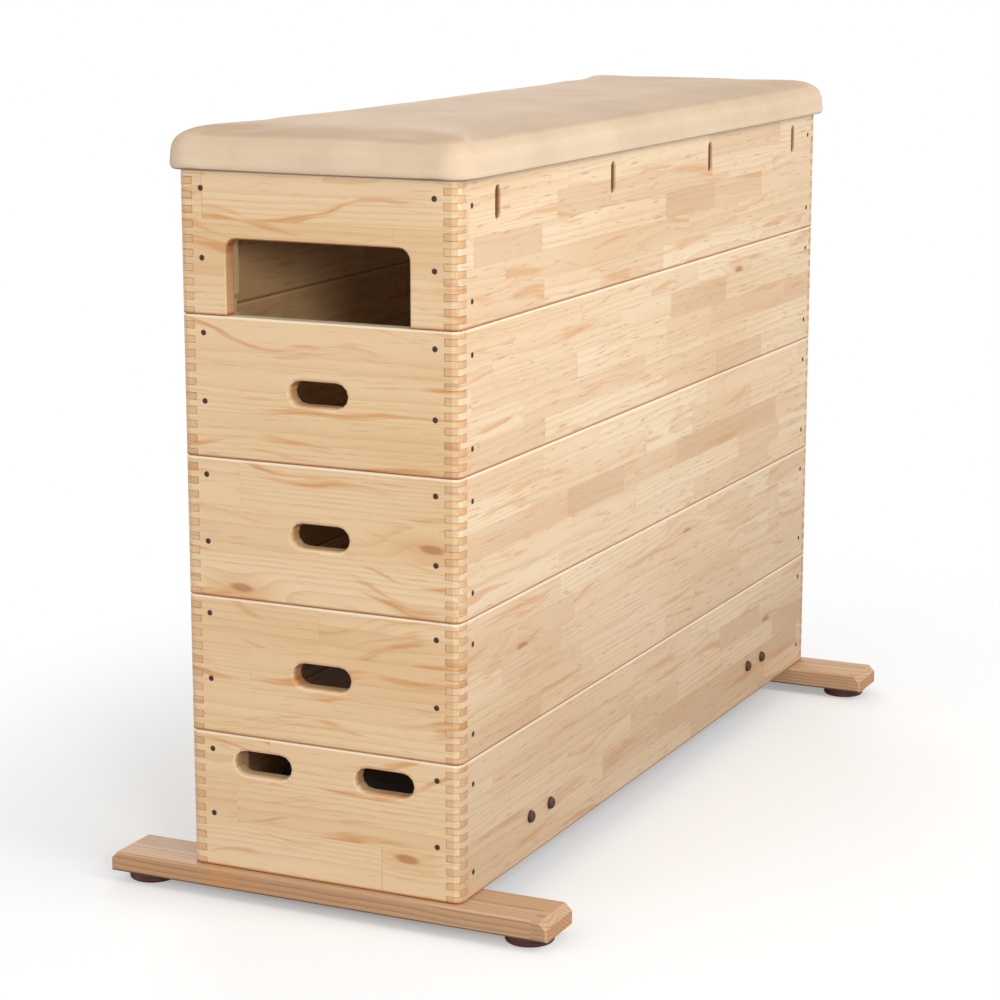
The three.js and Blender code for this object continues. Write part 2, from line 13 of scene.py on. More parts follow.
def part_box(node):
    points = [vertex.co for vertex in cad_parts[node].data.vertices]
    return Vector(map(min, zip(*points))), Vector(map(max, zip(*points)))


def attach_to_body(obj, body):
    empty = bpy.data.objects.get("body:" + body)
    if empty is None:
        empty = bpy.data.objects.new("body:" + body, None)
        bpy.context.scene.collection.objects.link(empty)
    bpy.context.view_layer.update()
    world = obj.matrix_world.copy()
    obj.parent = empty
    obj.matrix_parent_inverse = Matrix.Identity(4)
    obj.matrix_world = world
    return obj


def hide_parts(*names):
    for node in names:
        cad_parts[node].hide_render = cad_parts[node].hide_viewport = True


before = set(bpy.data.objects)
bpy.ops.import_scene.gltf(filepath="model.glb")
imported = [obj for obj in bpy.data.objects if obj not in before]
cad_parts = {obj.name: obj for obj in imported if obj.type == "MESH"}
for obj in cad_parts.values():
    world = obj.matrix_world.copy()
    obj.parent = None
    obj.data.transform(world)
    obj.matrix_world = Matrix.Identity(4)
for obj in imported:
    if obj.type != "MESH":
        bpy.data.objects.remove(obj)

log = logging.getLogger("vaulting_box")
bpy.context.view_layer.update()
Colour = tuple[float, float, float]
Profile = Sequence[tuple[float, float]]
Spot = tuple[Vector, Vector]

SECTIONS = ("bottom", "section_4", "section_3", "section_2", "top")
SECTION_BODIES = {"bottom": "base"}
ENDS = ("front", "back")
SIDES = ("left", "right")
CORNERS = [(end, side) for end in (-1, 1) for side in (-1, 1)]
WHITE = (1.0, 1.0, 1.0, 1.0)


class Axis(Enum):
    """The way the grain runs in a board: its along, across and depth directions."""

    ALONG_BOX = ("Y", "Z", "X")
    ACROSS_BOX = ("X", "Z", "Y")
    UPRIGHT = ("Z", "X", "Y")
    FLAT_ACROSS = ("X", "Y", "Z")


def math_method(operation: str) -> Callable[..., "Signal"]:
    """Makes a method of Signal that adds a Math node.

    Args:
        operation: The node's operation.

    Returns:
        The method, which takes the other operands.
    """
    def method(signal: "Signal", *others: "Operand") -> "Signal":
        """Adds the node over the signal and the other operands."""
        operands = dict(enumerate((signal, *others)))
        return signal.graph.read("ShaderNodeMath", {"operation": operation}, operands)

    return method


class Signal:
    """A shader socket that can be used in Python expressions."""

    __add__ = __radd__ = math_method("ADD")
    __sub__ = math_method("SUBTRACT")
    __mul__ = __rmul__ = math_method("MULTIPLY")
    __truediv__ = math_method("DIVIDE")
    __pow__ = math_method("POWER")
    floor = math_method("FLOOR")
    fract = math_method("FRACT")
    sine = math_method("SINE")
    sign = math_method("SIGN")
    size = math_method("ABSOLUTE")

    def __init__(self, graph: "Graph", socket: bpy.types.NodeSocket) -> None:
        """Keeps the output socket and the graph that it belongs to."""
        self.graph = graph
        self.socket = socket

    def __rsub__(self, other: float) -> "Signal":
        """Subtracts this signal from a number."""
        return self * -1.0 + other

    def step(self, low: float, high: float) -> "Signal":
        """Goes smoothly from 0 at low to 1 at high.

        Args:
            low: The value that gives 0.
            high: The value that gives 1, above or below low.

        Returns:
            The smooth step.
        """
        settings = {"interpolation_type": "SMOOTHSTEP", "clamp": True}
        sockets = {"Value": self, "From Min": min(low, high), "From Max": max(low, high)}
        rising = self.graph.read("ShaderNodeMapRange", settings, sockets, "Result")
        return 1.0 - rising if high < low else rising

    def split(self) -> tuple["Signal", "Signal", "Signal"]:
        """The three parts of a vector or colour."""
        node = self.graph.add("ShaderNodeSeparateXYZ", {}, {0: self})
        return tuple(Signal(self.graph, node.outputs[index]) for index in range(3))


Operand = Union[float, tuple, Signal]


class Graph:
    """A node tree, with one method for any node and short ones for the common nodes."""

    def __init__(self, tree: bpy.types.NodeTree) -> None:
        """Keeps the tree, emptied."""
        self.tree = tree
        tree.nodes.clear()

    def add(self, node_type: str, settings: dict, sockets: dict) -> bpy.types.Node:
        """Adds a node, sets it up, then fills or links its sockets.

        Args:
            node_type: Blender's name for the node's type.
            settings: The node's own properties, set first. A "stops" entry fills a colour ramp.
            sockets: Values, signals or other nodes' sockets, by the input's name or number.

        Returns:
            The node.
        """
        node = self.tree.nodes.new(node_type)
        for key, value in settings.items():
            if key == "stops":
                self._fill_ramp(node.color_ramp, value)
            else:
                setattr(node, key, value)
        for key, value in sockets.items():
            self._give(node.inputs[key], value)
        return node

    def _give(self, socket: bpy.types.NodeSocket, value: object) -> None:
        """Links a socket to a signal or to another node's socket, or sets its value.

        Args:
            socket: The input socket.
            value: What it gets.
        """
        source = value.socket if isinstance(value, Signal) else value
        if isinstance(source, bpy.types.NodeSocket):
            self.tree.links.new(source, socket)
        else:
            socket.default_value = source

    @staticmethod
    def _fill_ramp(ramp: bpy.types.ColorRamp, stops: Sequence[tuple[float, Colour]]) -> None:
        """Sets a ramp's stops, given as places and colours, from the lowest place to the highest."""
        while len(ramp.elements) < len(stops):
            ramp.elements.new(1.0)
        for element, (place, colour) in zip(ramp.elements, stops):
            element.position = place
            element.color = (*colour, 1.0)

    def read(self, node_type: str, settings: dict, sockets: dict, output: Union[int, str] = 0) -> Signal:
        """Adds a node and takes one of its outputs."""
        return Signal(self, self.add(node_type, settings, sockets).outputs[output])

    def coordinates(self, output: str = "Object") -> Signal:
        """The piece's own coordinates, or its own normal."""
        return self.read("ShaderNodeTexCoord", {}, {}, output)

    def join(self, x: Operand, y: Operand, z: Operand) -> Signal:
        """A vector of three parts."""
        return self.read("ShaderNodeCombineXYZ", {}, {0: x, 1: y, 2: z})

    def noise(self, place: Signal, scale: float = 1.0, detail: float = 2.0, roughness: float = 0.5) -> Signal:
        """Smooth noise around a half.

        Args:
            place: Where to read it.
            scale: How many features there are in one unit.
            detail: The number of finer octaves.
            roughness: How strong the finer octaves are.

        Returns:
            The noise's value.
        """
        sockets = {"Vector": place, "Scale": scale, "Detail": detail, "Roughness": roughness}
        return self.read("ShaderNodeTexNoise", {"noise_dimensions": "3D"}, sockets)

    def scatter(self, place: Signal) -> Signal:
        """Three even random numbers for each whole place."""
        return self.read("ShaderNodeTexWhiteNoise", {"noise_dimensions": "3D"}, {"Vector": place}, "Color")

    def cells(self, place: Signal, scale: float = 1.0, flat: bool = False) -> tuple[Signal, Signal]:
        """Scattered points and the cells round them.

        Args:
            place: Where to read them.
            scale: How many cells there are in one unit.
            flat: True to read the place's X and Y alone.

        Returns:
            The distance to the nearest point, and that point's random numbers.
        """
        settings = {"feature": "F1", "voronoi_dimensions": "2D" if flat else "3D"}
        node = self.add("ShaderNodeTexVoronoi", settings, {"Vector": place, "Scale": scale})
        return Signal(self, node.outputs["Distance"]), Signal(self, node.outputs["Color"])

    def ramp(self, value: Signal, colours: Sequence[Colour]) -> Signal:
        """A colour that goes evenly through a row of colours as a value goes from 0 to 1."""
        stops = [(index / (len(colours) - 1), colour) for index, colour in enumerate(colours)]
        return self.read("ShaderNodeValToRGB", {"stops": stops}, {0: value})

    def blend(self, share: Operand, first: Operand, second: Operand, mode: str = "MIX") -> Signal:
        """Mixes two colours.

        Args:
            share: How much of the second there is.
            first: A colour or a signal.
            second: A colour or a signal.
            mode: The blend mode.

        Returns:
            The mixed colour.
        """
        node = self.add("ShaderNodeMix", {"data_type": "RGBA", "blend_type": mode}, {})
        wanted = {"Factor_Float": share, "A_Color": first, "B_Color": second}
        for socket in node.inputs:
            if socket.identifier in wanted:
                value = wanted[socket.identifier]
                self._give(socket, (*value, 1.0) if isinstance(value, tuple) else value)
        return Signal(self, next(socket for socket in node.outputs if socket.identifier == "Result_Color"))

    def tint(self, share: Operand, colour: Operand, tint: Colour) -> Signal:
        """Multiplies a colour by a tint, by a share."""
        return self.blend(share, colour, tint, "MULTIPLY")

    def surface(self, values: dict, height: Signal, relief: float, soften: float = 0.0) -> None:
        """Ends the material in a Principled shader.

        Args:
            values: The shader's inputs by name.
            height: What the bump follows.
            relief: The bump's depth in metres.
            soften: How far hard edges are rounded in the shading, in metres.
        """
        bump = {"Height": height, "Distance": relief, "Strength": 1.0}
        if soften:
            bevel = self.add("ShaderNodeBevel", {"samples": 3}, {"Radius": soften})
            bump["Normal"] = bevel.outputs["Normal"]
        normal = self.add("ShaderNodeBump", {}, bump).outputs["Normal"]
        shader = self.add("ShaderNodeBsdfPrincipled", {}, {**values, "Normal": normal})
        self.add("ShaderNodeOutputMaterial", {}, {"Surface": shader.outputs["BSDF"]})


@dataclass(frozen=True)
class Finish:
    """A finish that builds its own material."""

    name: str

    def paint(self, graph: Graph) -> None:
        """Adds the finish's nodes to its material's graph."""
        raise NotImplementedError

    def build(self) -> bpy.types.Material:
        """Makes the material and paints it.

        Returns:
            The finished material.
        """
        material = bpy.data.materials.new(self.name)
        material.use_nodes = True
        self.paint(Graph(material.node_tree))
        return material


class Grain:
    """Where a point lies in a glued-up board, in which block of wood, and how the grain wanders there."""

    def __init__(self, graph: Graph, wood: "PineFinish") -> None:
        """Reads the piece's coordinates and draws each block's random numbers.

        Args:
            graph: The graph of the wood's material.
            wood: The wood, with its axis and the sizes of its staves and blocks.
        """
        self.graph = graph
        self.place = dict(zip("XYZ", graph.coordinates().split()))
        self.facing = dict(zip("XYZ", graph.coordinates("Normal").split()))
        self.along, self.across, self.depth = (self.place[letter] for letter in wood.axis.value)
        self.end_facing = self.facing[wood.axis.value[0]]
        self.side = self.depth.sign()
        self.height = self.across - wood.base
        self.row = (self.height / wood.stave).floor()
        row_random = graph.scatter(graph.join(self.row + wood.seed, self.side, wood.seed)).split()[0]
        even_run = self.along / wood.block + row_random * 7.0
        self.run = even_run + (even_run * 2.1 + row_random * 20.0).sine() * wood.block_unevenness
        block = graph.join(self.row + wood.seed, self.run.floor(), self.side)
        self.tone, self.shift, self.tilt = graph.scatter(block).split()
        self.figure = self.along + self.row * 5.37 + self.shift * 3.1
        drift = graph.join(self.along * 1.4, self.row * 3.7 + self.shift * 9.0, self.tilt * 9.0)
        self.wander = graph.noise(drift) - 0.5
        ripple = graph.join(self.along * 6.0, self.across * 30.0, self.shift * 5.0)
        self.ripple = graph.noise(ripple, detail=1.0) - 0.5


@dataclass(frozen=True)
class PineFinish(Finish):
    """Lacquered pine, glued up from staves, with growth rings, resin streaks, dashes and knots."""

    axis: Axis
    stave: float
    block: float
    tones: tuple[Colour, ...]
    late_wood: Colour
    base: float = 0.046
    reach: float = 0.215
    seed: float = 0.0
    block_unevenness: float = 0.28
    ring_gap: float = 0.0042
    ring_strength: float = 0.35
    ring_sharpness: float = 2.6
    heart_depth: float = 0.02
    heart_tilt: float = 0.08
    heart_shift: float = 0.07
    heart_wander: float = 0.03
    ring_ripple: float = 0.004
    knot_bend: float = 0.007
    knot_share: float = 0.12
    knot_colour: Colour = (0.44, 0.19, 0.07)
    streak_strength: float = 0.3
    streak_bend: float = 16.0
    streak_colour: Colour = (0.63, 0.31, 0.115)
    dash_strength: float = 0.3
    dash_colour: Colour = (0.52, 0.31, 0.17)
    cloud_tint: Colour = (0.86, 0.70, 0.50)
    fibre_tint: Colour = (0.76, 0.66, 0.54)
    seam_tint: Colour = (0.62, 0.42, 0.26)
    row_seam: float = 0.0006
    block_seam: float = 0.0008
    end_tint: Colour = (0.89, 0.76, 0.65)
    underside_shade_tint: Colour = (0.50, 0.29, 0.15)
    roughness: float = 0.42
    lacquer: float = 0.12
    lacquer_roughness: float = 0.28
    relief: float = 0.00012
    soften: float = 0.0012

    def paint(self, graph: Graph) -> None:
        """Adds the wood's nodes, from its tones to the marks and tints over them, and a painted shade on
        faces that look down.

        Args:
            graph: The material's graph.
        """
        grain = Grain(graph, self)
        bend, knots = self._knots(grain)
        late = self._late_wood(grain, bend)
        fine = graph.join(grain.along * 9.0, grain.across * 330.0, grain.depth * 330.0)
        fibre = graph.noise(fine, 1.0, 3.0, 0.6)

        colour = graph.ramp(grain.tone, self.tones)
        colour = graph.blend(late * self.ring_strength, colour, self.late_wood)
        colour = graph.tint(self._clouds(grain) * 0.34, colour, self.cloud_tint)
        colour = graph.blend(self._streaks(grain) * self.streak_strength, colour, self.streak_colour)
        colour = graph.blend(self._dashes(grain) * self.dash_strength, colour, self.dash_colour)
        colour = graph.blend(bend ** 2.0 * 0.35, colour, self.streak_colour)
        colour = graph.blend(knots * 0.85, colour, self.knot_colour)
        colour = graph.tint((fibre - 0.5).size() * 0.5, colour, self.fibre_tint)
        colour = graph.tint(self._seams(grain) * 0.3, colour, self.seam_tint)
        colour = self._painted_light_and_shade(grain, colour)
        end_grain = grain.end_facing.size().step(0.80, 0.98)
        colour = graph.tint(end_grain, colour, self.end_tint)
        # Painted shade: faces that look down, such as the lower chamfers of the boards, are darkened in the
        # colour.
        downward_shade = (grain.facing["Z"] * -1.0).step(0.3, 0.6)
        colour = graph.tint(downward_shade * 0.8, colour, self.underside_shade_tint)

        shine = late * 0.06 + fibre * 0.12 + end_grain * 0.2 + (self.roughness - 0.06)
        coat = {"Coat Weight": self.lacquer, "Coat Roughness": self.lacquer_roughness}
        values = {"Base Color": colour, "Roughness": shine, **coat}
        graph.surface(values, late * 0.5 + fibre * 0.5, self.relief, self.soften)

    def _knots(self, grain: Grain) -> tuple[Signal, Signal]:
        """Scatters knots.

        Args:
            grain: Where the point lies.

        Returns:
            How far the rings bend round a knot, and where the knots are.
        """
        height = grain.across * 9.0 + grain.side * 13.0
        place = grain.graph.join(grain.figure * 3.1 + grain.across * 1.6 + self.seed, height, 0.0)
        distance, random_numbers = grain.graph.cells(place, flat=True)
        chosen = random_numbers.split()[0].step(1.0 - self.knot_share, 1.0 - self.knot_share + 0.01)
        return distance.step(0.34, 0.05) * chosen, distance.step(0.075, 0.035) * chosen

    def _late_wood(self, grain: Grain, bend: Signal) -> Signal:
        """The dark part of each growth ring, cut by the board's face.

        Args:
            grain: Where the point lies.
            bend: How far the rings bend round a knot there.

        Returns:
            0 in early wood, rising to 1 at the end of each ring.
        """
        from_heart = (
            grain.height - (grain.row + 0.5) * self.stave
            + (grain.shift - 0.5) * self.heart_shift + grain.wander * self.heart_wander
        )
        into_board = grain.depth.size() - self.reach - self.heart_depth - grain.tilt * self.heart_tilt
        smooth = (from_heart ** 2.0 + into_board ** 2.0) ** 0.5
        radius = smooth + grain.ripple * self.ring_ripple + bend * self.knot_bend
        return (radius / self.ring_gap).fract() ** self.ring_sharpness

    def _clouds(self, grain: Grain) -> Signal:
        """Broad patches of deeper colour."""
        place = grain.graph.join(grain.along * 1.6, grain.across * 9.0, grain.side * 4.0 + self.seed)
        return grain.graph.noise(place).step(0.40, 0.70)

    def _streaks(self, grain: Grain) -> Signal:
        """Long wavy resin streaks that lie along the grain."""
        height = grain.across * 44.0 + grain.wander * self.streak_bend + grain.ripple * 0.9
        place = grain.graph.join(grain.figure * 3.4 + self.seed, height, grain.side * 3.0)
        return grain.graph.noise(place, 1.0, 3.0, 0.6).step(0.55, 0.69)

    def _dashes(self, grain: Grain) -> Signal:
        """Short thin resin marks."""
        place = grain.graph.join(grain.along * 21.0 + grain.shift * 9.0, grain.across * 240.0, grain.side)
        return grain.graph.noise(place, detail=1.0).step(0.62, 0.74)

    def _seams(self, grain: Grain) -> Signal:
        """Thin glue lines between staves and between blocks."""
        between_rows = self._seam(grain.height / self.stave, self.row_seam / self.stave)
        between_blocks = self._seam(grain.run, self.block_seam / self.block)
        return between_rows + between_blocks - between_rows * between_blocks

    @staticmethod
    def _seam(run: Signal, width: float) -> Signal:
        """A line on each side of every whole number, that wide."""
        return (run.fract() - 0.5).size().step(0.5 - width, 0.5)

    def _painted_light_and_shade(self, grain: Grain, colour: Signal) -> Signal:
        """The colour after the painted light and shade, of which plain wood has none."""
        return colour


@dataclass(frozen=True)
class BoardFinish(PineFinish):
    """The pine of the sections' walls, with painted shade and highlights at its edges, inside, low down and
    in the slots.
    """

    lacquer: float = 0.22
    level: float = 0.2
    lower_edge: tuple[float, float] = (0.0048, 0.0022)
    upper_edge: tuple[float, float] = (0.0044, 0.0024)
    bottom_edge_shade: Colour = (0.66, 0.41, 0.23)
    top_edge_highlight: Colour = (0.95, 0.83, 0.63)
    inner_face: tuple[float, float] = (0.0190, 0.0215)
    inside_bounce_tint: Colour = (1.0, 0.88, 0.68)
    low_reach: float = 0.7
    low_shade_tint: Colour = (0.75, 0.72, 0.70)
    slot_reach: float = 0.68
    slot_shade_tint: Colour = (0.52, 0.40, 0.31)

    def _painted_light_and_shade(self, grain: Grain, colour: Signal) -> Signal:
        """Paints shade on the lower edges, a highlight on the upper ones, warm bounce light and shade on the
        insides, shade low on the side faces and shade in the slot walls.

        Args:
            grain: Where the point lies.
            colour: The wood's colour.

        Returns:
            The worn colour.
        """
        graph = grain.graph
        share = (grain.height / self.level).fract()
        lower = share.step(*(rise / self.level for rise in self.lower_edge))
        upper = share.step(*(1.0 - drop / self.level for drop in self.upper_edge))
        # Painted shade: the lower edge of each section is browned where the rounded edge turns away from the
        # light.
        colour = graph.tint(lower * 0.9, colour, self.bottom_edge_shade)
        # Painted highlight: the upper edge of each section is lightened where the rounded edge catches the
        # light.
        colour = graph.blend(upper * 0.72, colour, self.top_edge_highlight)
        # Painted light and shade: the inner faces are made warmer and darker, standing in for the warm light
        # bounced inside the box.
        inner_side = grain.depth.size().step(*(self.reach - depth for depth in self.inner_face))
        colour = graph.tint(inner_side, colour, self.inside_bounce_tint)
        # Painted shade: the side faces grow darker towards the bottom, where less light falls.
        low_side_shade = grain.height.step(self.low_reach, 0.0) * grain.facing["X"].size().step(0.4, 0.9)
        colour = graph.tint(low_side_shade, colour, self.low_shade_tint)
        # Painted shade: the walls of the slots in the side boards are darkened, as shade falls in the recess.
        between_corners = grain.place["Y"].size().step(self.slot_reach + 0.01, self.slot_reach)
        slot_wall_shade = grain.facing["Y"].size().step(0.4, 0.8) * between_corners
        return graph.tint(slot_wall_shade, colour, self.slot_shade_tint)


@dataclass(frozen=True)
class PlyFinish(Finish):
    """Birch plywood: a plain face and striped edges."""

    name: str = "birch_plywood"
    ply: float = 0.0015
    pale: Colour = (0.66, 0.50, 0.33)
    dark: Colour = (0.40, 0.26, 0.15)
    figure_tint: Colour = (0.80, 0.68, 0.54)

    def paint(self, graph: Graph) -> None:
        """Adds the plywood's nodes.

        Args:
            graph: The material's graph.
        """
        x, y, z = graph.coordinates().split()
        edge = 1.0 - graph.coordinates("Normal").split()[2].size().step(0.4, 0.6)
        layers = (z / (2 * self.ply)).fract().step(0.45, 0.55) * edge
        figure = graph.noise(graph.join(x * 40.0, y * 2.5, z * 300.0), 1.0, 3.0)
        colour = graph.blend(layers, self.pale, self.dark)
        colour = graph.tint(figure.step(0.35, 0.7) * 0.35, colour, self.figure_tint)
        graph.surface({"Base Color": colour, "Roughness": figure * 0.1 + 0.58}, figure, 0.0002, 0.0008)


@dataclass(frozen=True)
class SuedeFinish(Finish):
    """Suede-faced leather: a fine nap, cloudy wear and a faint pebble, with painted shade on the shoulder,
    the flat top and the underside.
    """

    name: str = "tan_suede"
    pale: Colour = (0.70, 0.545, 0.385)
    deep: Colour = (0.58, 0.43, 0.29)
    shoulder_shade_tint: Colour = (0.80, 0.68, 0.54)
    top_shade_tint: Colour = (0.77, 0.69, 0.63)
    nap_tint: Colour = (0.78, 0.70, 0.62)
    underside_shadow_colour: Colour = (0.16, 0.08, 0.05)
    sheen_tint: Colour = (0.95, 0.88, 0.78)

    def paint(self, graph: Graph) -> None:
        """Adds the leather's nodes.

        Args:
            graph: The material's graph.
        """
        place = graph.coordinates()
        tilt = graph.coordinates("Normal").split()[2]
        clouds = graph.noise(place, 5.5, 4.0, 0.55)
        scuffs = graph.noise(place, 38.0, 3.0, 0.6)
        nap = graph.noise(place, 900.0, 2.0, 0.6)
        pebble = graph.cells(place, 520.0)[0]
        colour = graph.blend(clouds.step(0.36, 0.68) * 0.55 + (scuffs - 0.5) * 0.3, self.pale, self.deep)
        # Painted shade: the rounded shoulder between side and top is darkened where it turns away from the
        # light.
        shoulder = tilt.step(0.25, 0.6) * tilt.step(0.97, 0.75)
        colour = graph.tint(shoulder * 0.22, colour, self.shoulder_shade_tint)
        # Painted shade: the flat top is made darker and deeper in colour than the sides, as the light falls
        # from the side.
        colour = graph.tint(tilt.step(0.80, 0.99), colour, self.top_shade_tint)
        colour = graph.tint((nap - 0.5).size() * 0.5, colour, self.nap_tint)
        # Painted shadow: the underside and lowest edge of the pad are darkened into a dark brown line, as the
        # shadow under the pad.
        hem = (tilt * -1.0).step(0.45, 0.85)
        colour = graph.blend(hem * 0.85, colour, self.underside_shadow_colour)
        sheen = {"Sheen Weight": 0.10, "Sheen Roughness": 0.45, "Sheen Tint": (*self.sheen_tint, 1.0)}
        values = {"Base Color": colour, "Roughness": clouds * 0.14 + 0.72, **sheen}
        graph.surface(values, nap * 0.4 + pebble * 0.6, 0.00025)


@dataclass(frozen=True)
class RubberFinish(Finish):
    """Moulded rubber, dusty where it has been handled."""

    colour: Colour
    dust: Colour = (0.22, 0.20, 0.18)
    roughness: float = 0.62

    def paint(self, graph: Graph) -> None:
        """Adds the rubber's nodes.

        Args:
            graph: The material's graph.
        """
        place = graph.coordinates()
        dust = graph.noise(place, 42.0, 4.0, 0.6)
        grain = graph.noise(place, 1400.0, 1.0)
        colour = graph.blend(dust.step(0.5, 0.8) * 0.35, self.colour, self.dust)
        values = {"Base Color": colour, "Roughness": dust * 0.2 + self.roughness}
        graph.surface(values, grain, 0.00012, 0.0006)


@dataclass(frozen=True)
class SteelFinish(Finish):
    """Steel: plated, blackened or coated, with fine marks from making and handling."""

    colour: Colour
    worn: Colour
    metallic: float = 1.0
    roughness: float = 0.34
    wear: float = 0.3

    def paint(self, graph: Graph) -> None:
        """Adds the steel's nodes.

        Args:
            graph: The material's graph.
        """
        place = graph.coordinates()
        x, y, z = place.split()
        brushing = graph.noise(graph.join(x * 60.0, y * 900.0, z * 900.0))
        blotches = graph.noise(place, 55.0, 4.0, 0.62)
        colour = graph.blend(blotches.step(0.45, 0.75) * self.wear, self.colour, self.worn)
        shine = brushing * 0.14 + blotches * 0.18 + (self.roughness - 0.16)
        values = {"Base Color": colour, "Metallic": self.metallic, "Roughness": shine}
        graph.surface(values, brushing * 0.4 + blotches * 0.6, 0.00006, 0.0005)


@dataclass(frozen=True)
class FloorFinish(Finish):
    """A floor that keeps the shadow near the box and turns white further off."""

    name: str = "pale_floor"
    shadow_reach: tuple[float, float] = (0.85, 1.25)
    seen: Colour = (0.93, 0.93, 0.93)
    unseen: Colour = (0.55, 0.55, 0.57)

    def paint(self, graph: Graph) -> None:
        """Adds the floor's nodes.

        Args:
            graph: The material's graph.
        """
        x, y, _ = graph.coordinates().split()
        reach_x, reach_y = self.shadow_reach
        distance = ((x / reach_x) ** 2.0 + (y / reach_y) ** 2.0) ** 0.5
        to_camera = graph.read("ShaderNodeLightPath", {}, {}, "Is Camera Ray")
        colour = graph.blend(to_camera, self.unseen, self.seen)
        matt = graph.add("ShaderNodeBsdfDiffuse", {}, {"Color": colour})
        white = graph.add("ShaderNodeEmission", {}, {"Color": WHITE, "Strength": 1.0})
        fade = (distance.step(0.45, 1.5) * 0.75 + 0.25) * to_camera
        mix = graph.add("ShaderNodeMixShader", {}, {0: fade, 1: matt.outputs[0], 2: white.outputs[0]})
        graph.add("ShaderNodeOutputMaterial", {}, {"Surface": mix.outputs[0]})


class Finishes:
    """Every finish of the box, each built once."""

    def __init__(self) -> None:
        """Builds the materials."""
        pale_tones = (
            (0.83, 0.66, 0.45), (0.79, 0.61, 0.40), (0.81, 0.62, 0.41),
            (0.75, 0.55, 0.35), (0.67, 0.46, 0.28),
        )
        warm_tones = ((0.79, 0.57, 0.34), (0.76, 0.53, 0.31), (0.80, 0.59, 0.36), (0.73, 0.50, 0.28))
        brown_tones = ((0.61, 0.40, 0.24), (0.54, 0.345, 0.205), (0.65, 0.43, 0.265))
        late_wood = (0.62, 0.38, 0.19)
        self.side = BoardFinish(
            "glued_pine_side", Axis.ALONG_BOX, 0.040, 0.30, pale_tones, late_wood, seed=3.0,
            ring_strength=0.44, streak_strength=0.62, streak_bend=5.0, dash_strength=0.72, knot_share=0.04,
        ).build()
        self.end = BoardFinish(
            "glued_pine_end", Axis.ACROSS_BOX, 0.2 / 3, 0.62, warm_tones, late_wood, reach=0.72, seed=11.0,
            ring_gap=0.0052, ring_strength=0.50, streak_strength=1.0, dash_strength=0.36, knot_share=0.19,
        ).build()
        self.post = PineFinish(
            "planed_pine_post", Axis.UPRIGHT, 0.45, 2.0, warm_tones, late_wood, base=-0.72, reach=0.70,
            seed=5.0, roughness=0.6,
        ).build()
        self.runner = PineFinish(
            "stained_runner", Axis.FLAT_ACROSS, 0.045, 0.9, brown_tones, (0.30, 0.14, 0.06), base=-0.732,
            reach=0.046, seed=7.0, ring_gap=0.0058, ring_strength=0.62, streak_strength=0.6,
            dash_strength=0.6, knot_share=0.0, roughness=0.62, lacquer=0.04,
        ).build()
        self.ply = PlyFinish().build()
        self.suede = SuedeFinish().build()
        self.foot = RubberFinish("red_brown_rubber", (0.085, 0.026, 0.020), (0.26, 0.15, 0.13), 0.46).build()
        self.tyre = RubberFinish("grey_tyre_rubber", (0.055, 0.056, 0.060)).build()
        self.hub = SteelFinish("grey_hub", (0.30, 0.31, 0.33), (0.22, 0.22, 0.23), 0.0, 0.45).build()
        self.zinc = SteelFinish("zinc_plate", (0.62, 0.63, 0.64), (0.46, 0.46, 0.45)).build()
        self.coated = SteelFinish(
            "grey_coating", (0.15, 0.16, 0.17), (0.22, 0.22, 0.22), 0.0, 0.5, 0.2,
        ).build()
        self.black = SteelFinish(
            "blackened_steel", (0.060, 0.024, 0.014), (0.11, 0.055, 0.035), 0.0, 0.60, 0.35,
        ).build()

    def dress(self, node_name: str) -> bpy.types.Material:
        """Chooses the finish of a construction node.

        Args:
            node_name: The node's name, which says what it is.

        Returns:
            Its material.
        """
        by_word = {
            "side_board": self.side, "end_board": self.end, "post": self.post, "plywood": self.ply,
            "pad": self.suede, "runner": self.runner, "foot": self.foot, "rail": self.coated,
            "carrier": self.zinc, "fork": self.zinc, "wheel": self.tyre,
        }
        return next(material for word, material in by_word.items() if word in node_name)


def add_object(name: str, data: bpy.types.ID) -> bpy.types.Object:
    """Makes an object of a mesh, lamp or camera, and links it to the scene.

    Args:
        name: The object's name.
        data: What it holds.

    Returns:
        The object.
    """
    added = bpy.data.objects.new(name, data)
    bpy.context.scene.collection.objects.link(added)
    return added


def mesh_piece(
    name: str, points: Sequence, faces: Sequence, materials: Sequence[bpy.types.Material]
) -> bpy.types.Object:
    """Makes a piece from points and faces, at the origin.

    Args:
        name: The piece's name.
        points: Its vertices in the row frame, in metres.
        faces: Its faces, as lists of vertex numbers.
        materials: Its material slots, in order.

    Returns:
        The object, linked to the scene.
    """
    mesh = bpy.data.meshes.new(name)
    mesh.from_pydata([tuple(point) for point in points], [], faces)
    for material in materials:
        mesh.materials.append(material)
    return add_object(name, mesh)


def plain_mesh(piece: bpy.types.Object) -> bpy.types.Mesh:
    """Applies a piece's modifiers and removes them.

    Args:
        piece: The piece.

    Returns:
        The resulting mesh.
    """
    evaluated = piece.evaluated_get(bpy.context.evaluated_depsgraph_get())
    mesh = bpy.data.meshes.new_from_object(evaluated)
    piece.modifiers.clear()
    return mesh


def shade_smooth(piece: bpy.types.Object, sharp_over: float = 40.0) -> None:
    """Shades a mesh smooth, with its edges sharp past an angle in degrees."""
    piece.data.shade_smooth()
    piece.data.set_sharp_from_angle(angle=math.radians(sharp_over))


def attach(piece: bpy.types.Object, body: str, nodes: Sequence[str] = ()) -> None:
    """Fixes a piece to its body, and hides the construction nodes that it replaces.

    Args:
        piece: The piece.
        body: The body it moves with.
        nodes: The construction nodes that it replaces.
    """
    if nodes:
        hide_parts(*nodes)
    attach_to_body(piece, body)
    log.info("%s rides on %s", piece.name, body)


